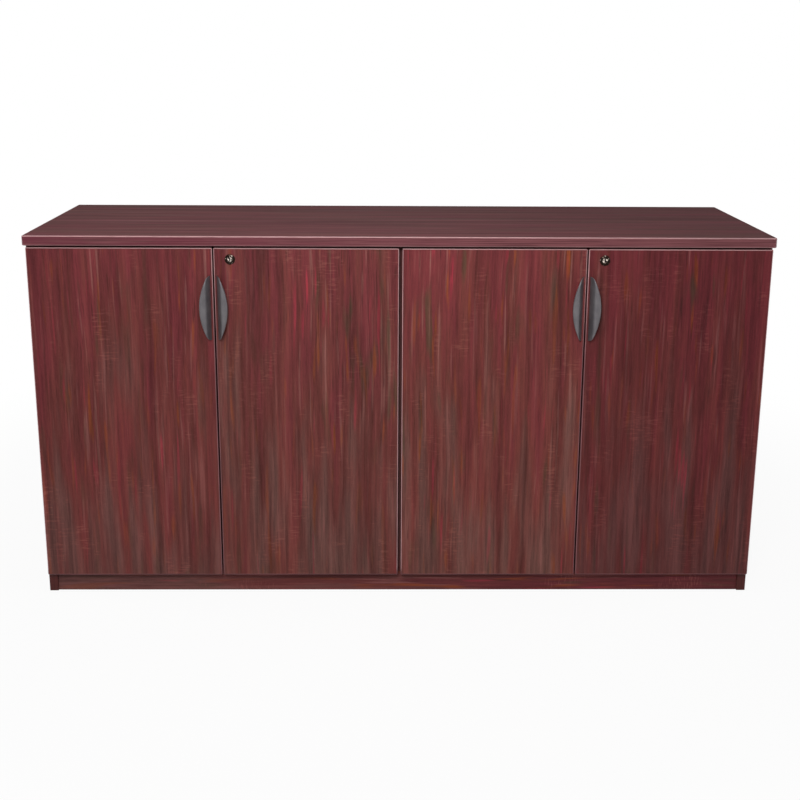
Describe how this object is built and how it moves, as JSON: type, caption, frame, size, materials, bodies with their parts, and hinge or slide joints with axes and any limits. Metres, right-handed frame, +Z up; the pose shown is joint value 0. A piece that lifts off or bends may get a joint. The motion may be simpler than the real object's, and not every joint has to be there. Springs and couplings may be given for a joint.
{
  "type": "office credenza",
  "caption": "Low mahogany-laminate office credenza: hinged doors with crescent pulls and cam locks close two shelved bays under one long worktop, on a recessed toe kick.",
  "frame": {"origin": "on the floor, at the middle of the footprint's bounding box, pulls included", "axes": "+X to the right along the length as seen from the front, +Y to the back, +Z up; the doors face -Y"},
  "size_m": [1.803, 0.6292, 0.92],
  "materials": {
    "mahogany": "satin mahogany-grain laminate with a matching plastic edge band",
    "mahogany_top": "satin mahogany-grain laminate, grain along the length",
    "pull_grey": "gunmetal-grey moulded plastic",
    "nickel": "nickel-plated pressed steel",
    "dark_nickel": "black-nickel plated die casting",
    "zinc": "bright zinc plate"
  },
  "bodies": {
    "carcass": {"top_panel": "mahogany_top", "kick_panel": "mahogany", "left_end_panel": "mahogany", "left_partition": "mahogany", "left_bottom_panel": "mahogany", "left_back_panel": "mahogany", "left_front_rail": "mahogany", "left_rear_rail": "mahogany", "left_shelf": "mahogany", "right_end_panel": "mahogany", "right_partition": "mahogany", "right_bottom_panel": "mahogany", "right_back_panel": "mahogany", "right_front_rail": "mahogany", "right_rear_rail": "mahogany", "right_shelf": "mahogany", "left_bay_left_front_shelf_pin": "zinc", "left_bay_left_rear_shelf_pin": "zinc", "left_bay_right_front_shelf_pin": "zinc", "left_bay_right_rear_shelf_pin": "zinc", "right_bay_left_front_shelf_pin": "zinc", "right_bay_left_rear_shelf_pin": "zinc", "right_bay_right_front_shelf_pin": "zinc", "right_bay_right_rear_shelf_pin": "zinc", "left_bay_left_door_lower_hinge_arm": "nickel", "left_bay_left_door_upper_hinge_arm": "nickel", "left_bay_right_door_lower_hinge_arm": "nickel", "left_bay_right_door_upper_hinge_arm": "nickel", "right_bay_left_door_lower_hinge_arm": "nickel", "right_bay_left_door_upper_hinge_arm": "nickel", "right_bay_right_door_lower_hinge_arm": "nickel", "right_bay_right_door_upper_hinge_arm": "nickel", "left_bay_lock_strike": "dark_nickel", "right_bay_lock_strike": "dark_nickel"},
    "left_bay_left_door_leaf": {"left_bay_left_door": "mahogany", "left_bay_left_door_pull": "pull_grey", "left_bay_left_door_lower_hinge_cup": "nickel", "left_bay_left_door_upper_hinge_cup": "nickel"},
    "left_bay_right_door_leaf": {"left_bay_right_door": "mahogany", "left_bay_right_door_pull": "pull_grey", "left_bay_right_door_lower_hinge_cup": "nickel", "left_bay_right_door_upper_hinge_cup": "nickel", "left_bay_lock_housing": "dark_nickel", "left_bay_lock_nut": "zinc"},
    "right_bay_left_door_leaf": {"right_bay_left_door": "mahogany", "right_bay_left_door_pull": "pull_grey", "right_bay_left_door_lower_hinge_cup": "nickel", "right_bay_left_door_upper_hinge_cup": "nickel"},
    "right_bay_right_door_leaf": {"right_bay_right_door": "mahogany", "right_bay_right_door_pull": "pull_grey", "right_bay_right_door_lower_hinge_cup": "nickel", "right_bay_right_door_upper_hinge_cup": "nickel", "right_bay_lock_housing": "dark_nickel", "right_bay_lock_nut": "zinc"},
    "left_bay_lock_core": {"left_bay_lock_plug": "dark_nickel", "left_bay_lock_cam": "zinc"},
    "right_bay_lock_core": {"right_bay_lock_plug": "dark_nickel", "right_bay_lock_cam": "zinc"}
  },
  "joints": [
    {"name": "left_bay_left_door_swing", "type": "hinge", "parent": "carcass", "child": "left_bay_left_door_leaf", "pos_m": [-0.8865, -0.28285, 0.47225], "axis": [0, 0, -1], "range_deg": [0, 100]},
    {"name": "left_bay_right_door_swing", "type": "hinge", "parent": "carcass", "child": "left_bay_right_door_leaf", "pos_m": [-0.01215, -0.28285, 0.47225], "axis": [0, 0, 1], "range_deg": [0, 85]},
    {"name": "right_bay_left_door_swing", "type": "hinge", "parent": "carcass", "child": "right_bay_left_door_leaf", "pos_m": [0.01215, -0.28285, 0.47225], "axis": [0, 0, -1], "range_deg": [0, 85]},
    {"name": "right_bay_right_door_swing", "type": "hinge", "parent": "carcass", "child": "right_bay_right_door_leaf", "pos_m": [0.8865, -0.28285, 0.47225], "axis": [0, 0, 1], "range_deg": [0, 100]},
    {"name": "left_bay_lock_turn", "type": "hinge", "parent": "left_bay_right_door_leaf", "child": "left_bay_lock_core", "pos_m": [-0.40858, -0.28285, 0.8645], "axis": [0, 1, 0], "range_deg": [0, 90]},
    {"name": "right_bay_lock_turn", "type": "hinge", "parent": "right_bay_right_door_leaf", "child": "right_bay_lock_core", "pos_m": [0.49007, -0.28285, 0.8645], "axis": [0, 1, 0], "range_deg": [0, 90]}
  ]
}
